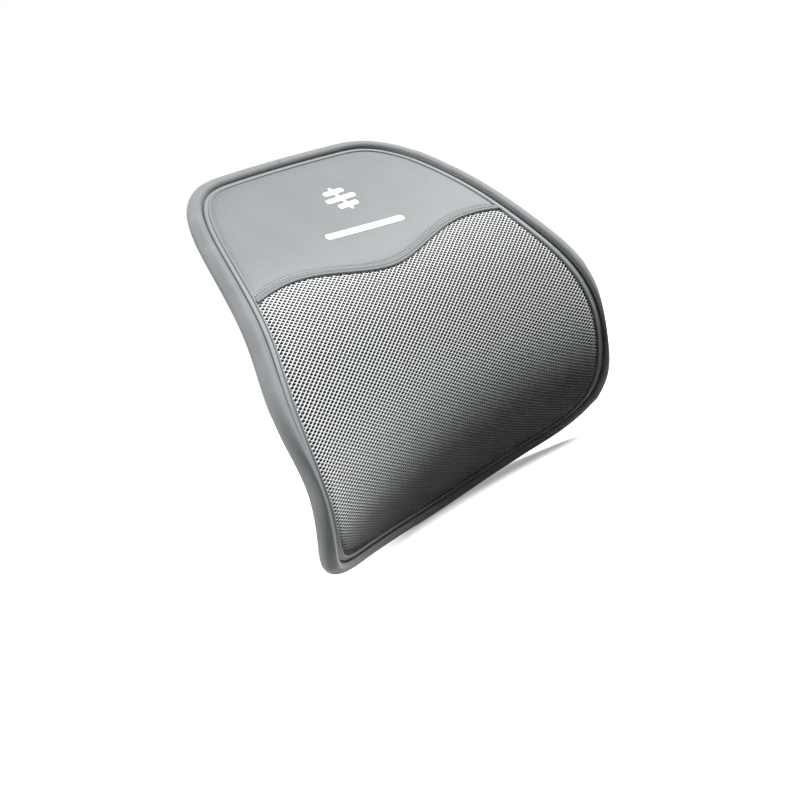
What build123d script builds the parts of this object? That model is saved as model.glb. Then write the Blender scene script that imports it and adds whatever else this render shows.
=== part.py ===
"""Lumbar support cushion: a curved foam pad in a sewn cover, with a zipper and an elastic strap behind.

Frame: origin at the middle of the flat back face, +Z up the seat back, +Y towards the seat back,
+X to the right of someone who faces the front of the cushion. Millimetres.
"""
import math
import os

from build123d import *

os.makedirs("parts", exist_ok=True)

# ---- Driving dimensions -------------------------------------------------------------------
# Front surface: a lumbar curve up the height, cupped across the width.
CURVE_BASE = -156.0      # height where the lumbar curve starts
CURVE_HEIGHT = 292.0     # height over which it swells and falls back
CURVE_DEPTH = 77.0       # how far the crown stands in front of the curve's ends
CURVE_BACK = -64.0       # place of the curve's ends in front of the back face
LOWER_POWER = 0.856      # how quickly the curve swells from below
UPPER_POWER = 1.084      # how quickly it falls away above
TAIL_LOW = 0.03          # below and above these shares of the height the curve runs straight
TAIL_HIGH = 0.93
CUP_WIDTH = 165.0        # half width at which the cup depths below are measured
CUP_LOW = 45.0           # cup depth at the base, then its change and bend with height
CUP_SLOPE = -93.0
CUP_BEND = 66.0

# Edge of the front panels, right half, from top centre to bottom centre.
PANEL_EDGE = [(0, 174), (59, 172), (87, 167), (129, 104), (151, 21), (165, -26),
              (171, -75), (169, -119), (159, -158), (112, -172), (0, -179)]
# Wave seam between the upper panel and the mesh, from the centre outwards.
WAVE_SEAM = [(0, 41), (40, 48), (90, 59), (125, 57), (150, 51), (178, 44)]

GAP = 0.1                # air between neighbouring sewn layers
PANEL_THICK = 2.2
LINING_THICK = 1.8
WELT_WIDTH = 5.0         # flat binding strip round the front panels
WELT_PROUD = 1.2
BAND_START = 6.2         # rolled border band, measured outwards from the panel edge
BAND_WIDTH = 15.8
BAND_NARROW = 8.5        # the band shows this much less where the sides curl back most
BAND_NECK = -95.0        # height of that narrow place, and the spread of heights it covers
BAND_SPREAD = 40.0
BAND_PROUD = 3.5
BAND_BACK = 11.0
GUSSET_THICK = 2.4
BACK_WIDTH_SHARE = 0.57  # the sides run in towards this much of the width and height
BACK_HEIGHT_SHARE = 0.86
TAPER_DEPTH = 12.0       # how far behind the back face they would get there
GUSSET_INSET = 1.5       # the gusset starts this far inside the band's outer edge
GUSSET_GAP = 0.8         # and this far behind the band
BINDING_WIDTH = 5.0
BINDING_PROUD = 0.9
BACK_THICK = 2.5
FOAM_GAP = 2.0           # the foam stays this far inside the gusset
FOAM_EDGE = 5.2          # the foam fills the cover out to here under the band
FRONT_REACH = -175.0     # a plane in front of everything
SIDE_REACH = 215.0       # half size of a square that holds the front view

FOLD_HALF = 1.6          # rolled hem along the wave seam
FOLD_PROUD = 1.3
STITCH_RISE = 5.5        # topstitch line above the seam
STITCH_HALF = 0.4
STITCH_PROUD = 0.45

ZIP_HEIGHT = -112.0
ZIP_HALF = 84.0
TAPE_WIDTH = 12.0
TAPE_THICK = 0.8
COIL_WIDTH = 2.0
COIL_THICK = 1.6
STOP_LENGTH = 3.0
SLIDER_LENGTH = 11.0
SLIDER_WIDTH = 8.6
SLIDER_WALL = 1.2
RUN_GAP = 0.35           # clearance of pieces that move
PULL_LENGTH = 27.0
PULL_WIDTH = 8.0
PULL_THICK = 1.8
PULL_PIN = 0.9           # radius of the slider's pin, which the pull turns on

STRAP_HEIGHT = 12.0
STRAP_WIDTH = 38.0
STRAP_THICK = 1.6
STRAP_LIFT = 3.2         # the strap runs this far clear of the back panel
STRAP_END = 78.0         # half length between the sewn patches' outer ends
PATCH_LENGTH = 14.0
RAMP_LENGTH = 12.0
RING_X = 34.0
RING_BAR = 3.6
RING_GAP = 7.0
TAIL_X = -40.0
ADJUSTER_X = -12.0
ADJUSTER_LENGTH = 26.0
ADJUSTER_BAR = 4.0

LABEL_SIZE = (34.0, 22.0)
LABEL_PLACE = (52.0, -62.0)
LABEL_THICK = 0.5

EMBLEM_PLACE = (14.0, 121.0)
EMBLEM_COLUMN = (30.0, 3.6)
EMBLEM_RIBS = [(9.0, 23.0), (0.0, 34.0), (-9.0, 23.0)]
RIB_WIDTH = 5.2
RULE_PLACE = (5.0, 83.0)
RULE_SIZE = (86.0, 6.0)
RULE_TILT = -4.5
EMBLEM_THICK = 0.35


# ---- Surfaces and outlines ----------------------------------------------------------------
def curve(share):
    """Lumbar curve at a share of its height: 0 at both ends, minus its depth at the crown."""
    inside = min(max(share, TAIL_LOW), TAIL_HIGH)
    crown = LOWER_POWER / (LOWER_POWER + UPPER_POWER)
    value = -CURVE_DEPTH * (inside / crown) ** LOWER_POWER
    value *= ((1 - inside) / (1 - crown)) ** UPPER_POWER
    slope = value * (LOWER_POWER / inside - UPPER_POWER / (1 - inside))
    return value + slope * (share - inside)


def front(x, z):
    """Depth of the cover's outer surface at a point of the front view."""
    share = (z - CURVE_BASE) / CURVE_HEIGHT
    level = min(max(share, 0), 1)
    cup = CUP_LOW + CUP_SLOPE * level + CUP_BEND * level ** 2
    return CURVE_BACK + curve(share) - cup * (x / CUP_WIDTH) ** 2


def edge_samples(count=72):
    """Points round the panel edge with their outward directions, in the front view."""
    left = [(-x, z) for x, z in reversed(PANEL_EDGE[1:-1])]
    loop = Edge.make_spline([Vector(x, z) for x, z in PANEL_EDGE + left], periodic=True)
    samples = []
    for step in range(count):
        point = loop.position_at(step / count)
        along = loop.tangent_at(step / count)
        samples.append((point.X, point.Y, -along.Y, along.X))
    return samples


EDGE = edge_samples()


def outset(distance, narrowing=0.0):
    """Points at a distance outside the panel edge, measured along the sloping surface."""
    points = []
    for x, z, out_x, out_z in EDGE:
        rise = front(x + out_x / 2, z + out_z / 2) - front(x - out_x / 2, z - out_z / 2)
        neck = narrowing * math.exp(-((z - BAND_NECK) / BAND_SPREAD) ** 2)
        step = (distance - neck) / math.hypot(1, rise)
        points.append((x + out_x * step, z + out_z * step))
    return points


def closed_loop(places):
    """Smooth loop with evenly numbered points, so that two loops match point for point."""
    steps = [float(i) for i in range(len(places) + 1)]
    return Edge.make_spline(places, periodic=True, parameters=steps)


def loop_wire(points, depth):
    return Wire([closed_loop([Vector(x, depth, z) for x, z in points])])


def column(points, near=FRONT_REACH, far=60.0):
    """Straight block behind a front-view outline, from one depth to another."""
    return Solid.extrude(Face(loop_wire(points, near)), Vector(0, far - near, 0))


def front_face():
    across, up = 20, 40
    heights = [SIDE_REACH * (2 * j / up - 1) for j in range(up + 1)]
    grid = []
    for i in range(across + 1):
        x = SIDE_REACH * (2 * i / across - 1)
        grid.append([Vector(x, front(x, z), z) for z in heights])
    return Face.make_surface_from_array_of_points(grid, tol=0.02)


FRONT = front_face()


def layer(near, far):
    """Slab that follows the front surface, between two distances behind it."""
    return Solid.extrude(FRONT.moved(Location((0, near, 0))), Vector(0, far - near, 0))


def seam_area(low, high):
    """Block over a strip along the wave seam; None means on to the end of the cushion."""
    left = [(-x, z) for x, z in reversed(WAVE_SEAM[1:])]
    seam = left + WAVE_SEAM
    end = WAVE_SEAM[-1][0]

    def line(rise):
        return Edge.make_spline([Vector(x, FRONT_REACH, z + rise) for x, z in seam])

    def straight(z):
        return Edge.make_line((-end, FRONT_REACH, z), (end, FRONT_REACH, z))

    bottom = straight(-SIDE_REACH) if low is None else line(low)
    top = straight(SIDE_REACH) if high is None else line(high)
    sides = [Edge.make_line(bottom @ 0, top @ 0), Edge.make_line(bottom @ 1, top @ 1)]
    return Solid.extrude(Face(Wire([bottom, top] + sides)), Vector(0, SIDE_REACH, 0))


def hull_outline(depth, inset):
    """Outline of the tapering body at one depth, inset all round."""
    points = []
    for x, z in outset(BAND_START + BAND_WIDTH - GUSSET_INSET, BAND_NARROW):
        rim = front(x, z) + BAND_BACK
        share = (depth - rim) / (TAPER_DEPTH - rim)
        hull_x = x * (1 - (1 - BACK_WIDTH_SHARE) * share)
        hull_z = z * (1 - (1 - BACK_HEIGHT_SHARE) * share)
        scale = 1 - inset / math.hypot(hull_x, hull_z)
        points.append((hull_x * scale, hull_z * scale))
    return points


def hull(inset):
    """Tapering body from the band back to the back face, inset all round."""
    loops = [loop_wire(hull_outline(depth, inset), depth) for depth in (FRONT_REACH, 0.0)]
    return Solid.make_loft(loops, ruled=True)


def gusset_edges(inset):
    """Front and back edge of one face of the gusset wall, just clear of the band and the binding."""
    near, far = [], []
    rim = outset(BAND_START + BAND_WIDTH - GUSSET_INSET, BAND_NARROW)
    for (x, z), (back_x, back_z) in zip(rim, hull_outline(0, inset)):
        scale = 1 - inset / math.hypot(x, z)
        x, z = x * scale, z * scale
        start = front(x, z) + BAND_BACK
        for loop, depth in ((near, start + GUSSET_GAP), (far, -BACK_THICK - 2 * GAP)):
            share = (depth - start) / -start
            loop.append(Vector(x + (back_x - x) * share, depth, z + (back_z - z) * share))
    return closed_loop(near), closed_loop(far)


def gusset_wall(outer_inset, inner_inset):
    """Closed ring between two such faces."""
    near_outer, far_outer = gusset_edges(outer_inset)
    near_inner, far_inner = gusset_edges(inner_inset)
    pairs = [(near_outer, far_outer), (far_outer, far_inner), (far_inner, near_inner), (near_inner, near_outer)]
    return Solid(Shell([Face.make_surface_from_curves(first, second) for first, second in pairs]))


def block(x, y, z):
    """Box between low and high limits on each axis."""
    size = (x[1] - x[0], y[1] - y[0], z[1] - z[0])
    middle = (sum(x) / 2, sum(y) / 2, sum(z) / 2)
    return Pos(*middle) * Box(*size)


def solid(shape):
    return shape.solids().sort_by(SortBy.VOLUME)[-1]


PARTS = {}


def keep(name, shape):
    PARTS[name] = solid(shape)
    PARTS[name].label = name


# ---- Cover: front -------------------------------------------------------------------------
def front_cover():
    panel = column(outset(0))
    upper = seam_area(FOLD_HALF + GAP, None)
    lower = seam_area(None, -GAP)
    keep("front_upper_panel", layer(0, PANEL_THICK) & panel & upper)
    keep("front_mesh_panel", layer(0, PANEL_THICK) & panel & lower)
    keep("mesh_lining", layer(PANEL_THICK + GAP, PANEL_THICK + LINING_THICK) & panel & lower)
    keep("wave_fold", layer(-FOLD_PROUD, -GAP) & column(outset(-GAP)) & seam_area(-FOLD_HALF, FOLD_HALF))
    stitch = seam_area(STITCH_RISE - STITCH_HALF, STITCH_RISE + STITCH_HALF)
    keep("wave_topstitch", layer(-STITCH_PROUD, -0.05) & column(outset(-2)) & stitch)
    strip = column(outset(WELT_WIDTH + GAP)) - column(outset(GAP))
    keep("panel_welt", layer(-WELT_PROUD, PANEL_THICK) & strip)
    ring = column(outset(BAND_START + BAND_WIDTH, BAND_NARROW)) - column(outset(BAND_START))
    band = solid(layer(-BAND_PROUD, BAND_BACK) & ring)
    keep("border_band", band)


# ---- Cover: sides and back ----------------------------------------------------------------
def back_cover():
    keep("side_gusset", gusset_wall(0, GUSSET_THICK))
    ring = column(hull_outline(0, 0), -BACK_THICK, BINDING_PROUD)
    ring -= column(hull_outline(0, BINDING_WIDTH), -BACK_THICK - 1, BINDING_PROUD + 1)
    keep("back_binding", ring)
    keep("back_panel", column(hull_outline(0, BINDING_WIDTH + GAP), -BACK_THICK, 0))
    shut = block((-300, 300), (FRONT_REACH, -BACK_THICK - 2 * GAP), (-300, 300))
    core = hull(GUSSET_THICK + FOAM_GAP) & layer(PANEL_THICK + LINING_THICK + GAP, 300)
    core = solid(core) & shut
    core -= layer(-20, BAND_BACK + 3 * GUSSET_GAP) & (column(outset(60)) - column(outset(FOAM_EDGE)))
    core = solid(core) - gusset_wall(-GUSSET_THICK, GUSSET_THICK + FOAM_GAP)
    keep("foam_core", core)


# ---- Zipper -------------------------------------------------------------------------------
def zipper():
    for side, name in ((1, "upper"), (-1, "lower")):
        near = ZIP_HEIGHT + side * GAP
        tape = sorted((near, near + side * TAPE_WIDTH))
        keep("zipper_tape_" + name, block((-ZIP_HALF, ZIP_HALF), (0.02, TAPE_THICK), tape))
        coil = sorted((near, near + side * COIL_WIDTH))
        span = (-ZIP_HALF + STOP_LENGTH + 1, ZIP_HALF - STOP_LENGTH - 1)
        teeth = block(span, (TAPE_THICK, TAPE_THICK + COIL_THICK), coil)
        keep("zipper_coil_" + name, teeth)
    stop_half = COIL_WIDTH + 0.4
    for side, name in ((-1, "left"), (1, "right")):
        x = sorted((side * ZIP_HALF, side * (ZIP_HALF - STOP_LENGTH)))
        z = (ZIP_HEIGHT - stop_half, ZIP_HEIGHT + stop_half)
        stop = block(x, (TAPE_THICK, TAPE_THICK + COIL_THICK + 0.4), z)
        keep("zipper_stop_" + name, fillet(stop.edges().filter_by(Axis.Y), 0.8))

    # Slider: a channel over the teeth with a bridge, whose pin carries the pull.
    x_end = ZIP_HALF - STOP_LENGTH - 1 - RUN_GAP
    x_mid = x_end - SLIDER_LENGTH / 2
    roof = TAPE_THICK + COIL_THICK + RUN_GAP
    low, high = ZIP_HEIGHT - SLIDER_WIDTH / 2, ZIP_HEIGHT + SLIDER_WIDTH / 2
    body = block((x_end - SLIDER_LENGTH, x_end), (TAPE_THICK + RUN_GAP, roof + SLIDER_WALL), (low, high))
    body = fillet(body.edges().filter_by(Axis.Y), 2.0)
    channel = COIL_WIDTH + GAP + RUN_GAP
    body -= block((x_end - 20, x_end + 5), (0, roof), (ZIP_HEIGHT - channel, ZIP_HEIGHT + channel))
    eye = PULL_PIN + 0.25
    eye_outer = eye + 1.1
    pin_y = roof + SLIDER_WALL + eye_outer + RUN_GAP
    for side in (-1, 1):
        lug = sorted((ZIP_HEIGHT + side * 2.4, ZIP_HEIGHT + side * 3.8))
        body += block((x_mid - 1.6, x_mid + 1.6), (roof + 0.2, pin_y + 1.3), lug)
    body += Pos(x_mid, pin_y, ZIP_HEIGHT) * Cylinder(PULL_PIN, 7.0)
    keep("zipper_slider", body)

    # Pull tab: it hangs on the pin and lies flat along the zipper.
    neck_half = 1.9
    knuckle = Pos(x_mid, pin_y, ZIP_HEIGHT) * Cylinder(eye_outer, 2 * neck_half)
    blade_y = (pin_y - PULL_THICK / 2, pin_y + PULL_THICK / 2)
    neck = block((x_mid - 6, x_mid), blade_y, (ZIP_HEIGHT - neck_half, ZIP_HEIGHT + neck_half))
    blade = block((x_mid - PULL_LENGTH, x_mid - 5), blade_y,
                  (ZIP_HEIGHT - PULL_WIDTH / 2, ZIP_HEIGHT + PULL_WIDTH / 2))
    blade = fillet(blade.edges().filter_by(Axis.Y), 2.0)
    pull = knuckle + neck + blade
    pull -= Pos(x_mid, pin_y, ZIP_HEIGHT) * Cylinder(eye, 20)
    keep("zipper_pull", pull)


# ---- Strap --------------------------------------------------------------------------------
def strap():
    half = STRAP_THICK / 2
    sewn = 0.05 + half
    run = STRAP_LIFT + half
    ramp = STRAP_END - PATCH_LENGTH
    # Long strap: sewn at the left, through the ring and back over itself to a hemmed tail.
    ring_left = RING_X - RING_GAP / 2
    turn = ring_left - RING_BAR - RUN_GAP - half
    top = run + RING_BAR + 2 * RUN_GAP + STRAP_THICK
    bar_y = (run + top) / 2
    long_strap = block((-STRAP_END, -ramp), (0.05, 0.05 + STRAP_THICK), strap_z())
    long_strap += slope(-ramp, -ramp + RAMP_LENGTH, sewn, run)
    wrap_x = ring_left - RING_BAR / 2
    long_strap += block((-ramp + RAMP_LENGTH, wrap_x), (run - half, run + half), strap_z())
    bend = Pos(wrap_x, bar_y, STRAP_HEIGHT) * (
        Cylinder(bar_y - run + half, STRAP_WIDTH) - Cylinder(bar_y - run - half, STRAP_WIDTH + 1))
    bend &= block((wrap_x, wrap_x + 30), (-20, 40), (-200, 200))
    long_strap += bend
    long_strap += block((TAIL_X, wrap_x), (top - half, top + half), strap_z())
    keep("strap_long", long_strap)

    short = block((ramp, STRAP_END), (0.05, 0.05 + STRAP_THICK), strap_z())
    short += slope(ramp, ramp - RAMP_LENGTH, sewn, run)
    wrap_r = RING_X + RING_GAP / 2 + RING_BAR / 2
    short += block((wrap_r, ramp - RAMP_LENGTH), (run - half, run + half), strap_z())
    bend = Pos(wrap_r, bar_y, STRAP_HEIGHT) * (
        Cylinder(bar_y - run + half, STRAP_WIDTH) - Cylinder(bar_y - run - half, STRAP_WIDTH + 1))
    bend &= block((wrap_r - 30, wrap_r), (-20, 40), (-200, 200))
    short += bend
    short += block((wrap_r, ramp - RAMP_LENGTH - 1), (top - half, top + half), strap_z())
    keep("strap_short", short)

    # Ring: a flat rounded loop whose two upright bars carry the straps.
    reach = STRAP_WIDTH / 2 + 1.0
    ring_right = ring_left + RING_GAP
    ring_x = (ring_left - RING_BAR, ring_right + RING_BAR)
    ring = block(ring_x, (bar_y - RING_BAR / 2, bar_y + RING_BAR / 2),
                 (STRAP_HEIGHT - reach - RING_BAR, STRAP_HEIGHT + reach + RING_BAR))
    ring = fillet(ring.edges().filter_by(Axis.Y), 3.0)
    hole = block((ring_left, ring_right), (-20, 40), (STRAP_HEIGHT - reach, STRAP_HEIGHT + reach))
    ring -= fillet(hole.edges().filter_by(Axis.Y), 1.0)
    ring = fillet(ring.edges().filter_by(Axis.Z).filter_by(lambda bar: bar.length > STRAP_WIDTH / 2), 1.2)
    keep("strap_ring", ring)

    # Adjuster: a frame that both layers of the long strap run through, with a bar below.
    a = (ADJUSTER_X - ADJUSTER_LENGTH / 2, ADJUSTER_X + ADJUSTER_LENGTH / 2)
    over = top + half + RUN_GAP
    under = run - half - RUN_GAP
    wall = 3.0
    z_in = (STRAP_HEIGHT - STRAP_WIDTH / 2 - 0.5, STRAP_HEIGHT + STRAP_WIDTH / 2 + 0.5)
    frame = block(a, (under - 1.6, over + 2.2), (z_in[0] - wall, z_in[1] + wall))
    frame = fillet(frame.edges().filter_by(Axis.Y), 4.0)
    frame -= block((a[0] - 1, a[1] + 1), (under, over), z_in)
    for side in (-1, 1):
        window = (ADJUSTER_BAR / 2, ADJUSTER_LENGTH / 2 - ADJUSTER_BAR)
        gap = sorted(ADJUSTER_X + side * edge for edge in window)
        frame -= block(gap, (over - 1, over + 5), z_in)
    frame -= block((a[0] - 1, ADJUSTER_X - 5), (under - 3, under + 0.01), z_in)
    frame -= block((ADJUSTER_X + 5, a[1] + 1), (under - 3, under + 0.01), z_in)
    keep("strap_adjuster", frame)

    for side, name in ((-1, "left"), (1, "right")):
        x = sorted((side * (STRAP_END + 2.0), side * (STRAP_END - PATCH_LENGTH + 3)))
        patch = block(x, (STRAP_THICK + 0.1, STRAP_THICK + 1.1), strap_z(1.5))
        keep("strap_patch_" + name, fillet(patch.edges().filter_by(Axis.Y), 2.0))


def strap_z(extra=0.0):
    half = STRAP_WIDTH / 2 + extra
    return (STRAP_HEIGHT - half, STRAP_HEIGHT + half)


def slope(x_from, x_to, y_from, y_to):
    """Straight ramp of webbing between two heights above the back panel."""
    half = STRAP_THICK / 2
    corners = [(x_from, y_from - half), (x_to, y_to - half), (x_to, y_to + half), (x_from, y_from + half)]
    low = strap_z()[0]
    face = Face(Wire.make_polygon([Vector(x, y, low) for x, y in corners], close=True))
    return Solid.extrude(face, Vector(0, 0, STRAP_WIDTH))


# ---- Print and label ----------------------------------------------------------------------
def print_on_front(sketch_face):
    """Thin printed film where a flat shape is carried straight on to the front surface."""
    return layer(-EMBLEM_THICK, -0.05) & Solid.extrude(sketch_face, Vector(0, 200, 0))


def trims():
    plane = Plane(origin=(0, FRONT_REACH, 0), x_dir=(1, 0, 0), z_dir=(0, -1, 0))
    # A plain pictogram of a back: a column with three rounded ribs, over a broad rule.
    with BuildSketch(plane) as mark:
        with Locations(EMBLEM_PLACE):
            SlotOverall(*EMBLEM_COLUMN, rotation=90)
        for rise, width in EMBLEM_RIBS:
            with Locations((EMBLEM_PLACE[0], EMBLEM_PLACE[1] + rise)):
                SlotOverall(width, RIB_WIDTH)
    keep("emblem_print", print_on_front(mark.sketch.faces()[0]))
    with BuildSketch(plane) as rule:
        with Locations(RULE_PLACE):
            SlotOverall(*RULE_SIZE, rotation=RULE_TILT)
    keep("emblem_rule", print_on_front(rule.sketch.faces()[0]))
    x, z = LABEL_PLACE
    half_x, half_z = LABEL_SIZE[0] / 2, LABEL_SIZE[1] / 2
    keep("care_label", block((x - half_x, x + half_x), (0.02, LABEL_THICK), (z - half_z, z + half_z)))


front_cover()
back_cover()
zipper()
strap()
trims()

for name, shape in PARTS.items():
    export_step(shape, "parts/" + name + ".step")
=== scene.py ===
"""Looks of the lumbar support cushion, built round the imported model.

Lengths are in millimetres until a mesh is made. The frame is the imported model's: +Z up the seat back,
+Y towards the seat, so the front faces -Y.
"""
import math

import bpy
import numpy as np
from mathutils import Matrix, Vector


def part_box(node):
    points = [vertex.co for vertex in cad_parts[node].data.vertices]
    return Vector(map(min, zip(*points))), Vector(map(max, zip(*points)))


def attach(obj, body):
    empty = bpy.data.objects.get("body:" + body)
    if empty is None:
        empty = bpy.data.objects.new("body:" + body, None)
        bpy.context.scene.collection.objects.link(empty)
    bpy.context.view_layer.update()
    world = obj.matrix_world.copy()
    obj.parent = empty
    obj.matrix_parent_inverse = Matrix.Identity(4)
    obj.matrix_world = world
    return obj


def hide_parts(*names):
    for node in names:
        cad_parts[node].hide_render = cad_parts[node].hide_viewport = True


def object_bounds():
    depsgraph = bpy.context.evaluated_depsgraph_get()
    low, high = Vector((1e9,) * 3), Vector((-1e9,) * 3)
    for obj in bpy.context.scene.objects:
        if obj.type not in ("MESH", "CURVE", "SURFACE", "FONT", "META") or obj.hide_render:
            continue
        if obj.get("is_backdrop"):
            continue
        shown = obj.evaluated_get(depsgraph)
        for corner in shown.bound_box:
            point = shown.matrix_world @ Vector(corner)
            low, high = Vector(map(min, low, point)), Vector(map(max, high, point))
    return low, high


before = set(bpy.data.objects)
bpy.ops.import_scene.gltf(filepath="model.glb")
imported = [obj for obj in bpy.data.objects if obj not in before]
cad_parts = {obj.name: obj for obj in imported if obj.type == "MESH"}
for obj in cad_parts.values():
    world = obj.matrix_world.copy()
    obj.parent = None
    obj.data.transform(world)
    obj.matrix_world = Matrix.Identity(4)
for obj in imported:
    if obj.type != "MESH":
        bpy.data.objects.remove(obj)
cad_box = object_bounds()
MM = 0.001

# ---- Shape of the cushion, as in the CAD model ---------------------------------------------
CURVE_BASE, CURVE_HEIGHT = -156.0, 292.0
CURVE_DEPTH, CURVE_BACK = 77.0, -64.0
LOWER_POWER, UPPER_POWER = 0.856, 1.084
TAIL_LOW, TAIL_HIGH = 0.03, 0.93
CUP_WIDTH, CUP_LOW, CUP_SLOPE, CUP_BEND = 165.0, 45.0, -93.0, 66.0
PANEL_EDGE = [(0, 174), (59, 172), (87, 167), (129, 104), (151, 21), (165, -26),
              (171, -75), (169, -119), (159, -158), (112, -172), (0, -179)]
WAVE_SEAM = [(0, 41), (40, 48), (90, 59), (125, 57), (150, 51), (178, 44)]
EDGE_STEPS = 480

# Border: a flat strip with a raised inner ridge, a groove, and a band that rolls up out of it.
# Profiles are pairs of distance outside the panel edge and height above the surface.
STRIP_PROFILE = [(-1.2, -1.8), (-0.9, -0.2), (-0.5, 0.55), (0.1, 0.85), (0.7, 0.75), (1.15, 0.3), (1.5, -0.1),
                 (2.4, -0.15), (3.4, -0.2), (4.3, -0.4), (4.9, -1.0), (5.2, -2.2), (5.3, -4.0)]
BAND_START = 6.1
BAND_PROFILE = [(0.3, -7.0), (0.05, -4.0), (0.0, -1.8), (0.35, 0.3), (1.3, 1.9), (2.9, 3.0), (4.9, 3.4),
                (7.0, 3.1), (9.0, 2.1), (10.8, 0.5), (12.2, -1.7), (12.9, -4.2), (12.7, -6.8), (11.6, -9.2),
                (9.6, -10.6), (6.6, -10.6), (3.2, -9.4)]
# The band is 2 mm narrower at its neck than the CAD's, and the foot along the bottom isn't in the CAD.
BAND_WIDTH, BAND_NARROW = 15.8, 10.5
BAND_NECK, BAND_SPREAD = -95.0, 40.0
BAND_FOOT, FOOT_START, FOOT_SPREAD = 8.0, -150.0, 105.0
BACK_WIDTH_SHARE, BACK_HEIGHT_SHARE, TAPER_DEPTH = 0.57, 0.86, 12.0
GUSSET_INSET, BAND_BACK = 1.5, 11.0
MIDDLE = np.array([0.0, -10.0])

# Air mesh: staggered holes, half a pitch apart across and down.
HOLE_STEP_X, HOLE_STEP_Z = 2.75, 1.865
HOLE_RADIUS_X, HOLE_RADIUS_Z = 1.42, 1.02
HOLE_SINK = 1.1
MESH_TILT = 0.028
STITCH_RISE = 4.9
STITCH_PITCH, STITCH_LENGTH, STITCH_RADIUS = 3.5, 2.7, 0.42


def curve(share):
    """Lumbar curve over its height, carried on straight beyond its ends."""
    inside = np.clip(share, TAIL_LOW, TAIL_HIGH)
    crown = LOWER_POWER / (LOWER_POWER + UPPER_POWER)
    value = -CURVE_DEPTH * (inside / crown) ** LOWER_POWER
    value = value * ((1 - inside) / (1 - crown)) ** UPPER_POWER
    slope = value * (LOWER_POWER / inside - UPPER_POWER / (1 - inside))
    return value + slope * (share - inside)


def front(x, z):
    """Depth of the cover's outer surface at points of the front view."""
    share = (np.asarray(z, float) - CURVE_BASE) / CURVE_HEIGHT
    level = np.clip(share, 0, 1)
    cup = CUP_LOW + CUP_SLOPE * level + CUP_BEND * level ** 2
    return CURVE_BACK + curve(share) - cup * (np.asarray(x, float) / CUP_WIDTH) ** 2


def on_front(x, z, height):
    """Points a height above the front surface, along its own normal."""
    step = 0.5
    slope_x = (front(x + step, z) - front(x - step, z)) / (2 * step)
    slope_z = (front(x, z + step) - front(x, z - step)) / (2 * step)
    normal = np.stack([slope_x, -np.ones_like(slope_x), slope_z], -1)
    normal /= np.linalg.norm(normal, axis=-1, keepdims=True)
    return np.stack([x, front(x, z), z], -1) + normal * np.asarray(height)[..., None]


def closed_spline(points, count):
    """Smooth loop through points: its positions and directions, evenly spaced."""
    pts = np.array(points, float)
    n = len(pts)
    step = np.linalg.norm(np.roll(pts, -1, 0) - pts, axis=1)
    system, right = np.zeros((n, n)), np.zeros((n, 2))
    for i in range(n):
        before, after = step[i - 1], step[i]
        system[i, i - 1] = 1 / before
        system[i, i] = 2 / before + 2 / after
        system[i, (i + 1) % n] = 1 / after
        right[i] = 3 * ((pts[i] - pts[i - 1]) / before ** 2 + (pts[(i + 1) % n] - pts[i]) / after ** 2)
    slope = np.linalg.solve(system, right)
    start = np.concatenate([[0], np.cumsum(step)])
    fine = np.linspace(0, start[-1], 4001)
    i = np.minimum(np.searchsorted(start, fine, "right") - 1, n - 1)
    t = ((fine - start[i]) / step[i])[:, None]
    j, h = (i + 1) % n, step[i][:, None]
    line = ((2 * t ** 3 - 3 * t ** 2 + 1) * pts[i] + (t ** 3 - 2 * t ** 2 + t) * h * slope[i]
            + (3 * t ** 2 - 2 * t ** 3) * pts[j] + (t ** 3 - t ** 2) * h * slope[j])
    run = np.concatenate([[0], np.cumsum(np.linalg.norm(np.diff(line, axis=0), axis=1))])
    even = np.linspace(0, run[-1], count + 1)
    place = np.stack([np.interp(even, run, line[:, k]) for k in (0, 1)], -1)
    along = np.roll(place[:-1], -1, 0) - np.roll(place[:-1], 1, 0)
    return place[:-1], along / np.linalg.norm(along, axis=1)[:, None]


LEFT_EDGE = [(-x, z) for x, z in reversed(PANEL_EDGE[1:-1])]
EDGE, ALONG = closed_spline(PANEL_EDGE + LEFT_EDGE, EDGE_STEPS)
OUTWARD = np.stack([-ALONG[:, 1], ALONG[:, 0]], -1)


def edge_rise():
    """Change of depth for each millimetre outwards across the panel edge."""
    outer, inner = EDGE + OUTWARD / 2, EDGE - OUTWARD / 2
    return front(outer[:, 0], outer[:, 1]) - front(inner[:, 0], inner[:, 1])


def edge_frame():
    """At each step round the panel edge: the point, the way out along the surface, and the normal."""
    x, z = EDGE[:, 0], EDGE[:, 1]
    base = on_front(x, z, np.zeros(len(x)))
    normal = on_front(x, z, np.ones(len(x))) - base
    out = np.stack([OUTWARD[:, 0], edge_rise(), OUTWARD[:, 1]], -1)
    return base, out / np.linalg.norm(out, axis=1)[:, None], normal


BASE, OUT, NORMAL = edge_frame()


def open_spline(points, xs):
    """Height of a smooth curve through points at each x (natural cubic)."""
    px, pz = np.array(points, float).T
    n, h = len(px), np.diff(px)
    system, right = np.eye(n), np.zeros(n)
    for i in range(1, n - 1):
        system[i, i - 1:i + 2] = h[i - 1], 2 * (h[i - 1] + h[i]), h[i]
        right[i] = 6 * ((pz[i + 1] - pz[i]) / h[i] - (pz[i] - pz[i - 1]) / h[i - 1])
    bend = np.linalg.solve(system, right)
    i = np.clip(np.searchsorted(px, xs) - 1, 0, n - 2)
    a, b = (px[i + 1] - xs) / h[i], (xs - px[i]) / h[i]
    return a * pz[i] + b * pz[i + 1] + ((a ** 3 - a) * bend[i] + (b ** 3 - b) * bend[i + 1]) * h[i] ** 2 / 6


def seam(x):
    """Height of the wave seam, the same on both sides of the middle."""
    full = [(-a, b) for a, b in reversed(WAVE_SEAM[1:])] + WAVE_SEAM
    return open_spline(full, np.clip(x, -177, 177))


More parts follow.
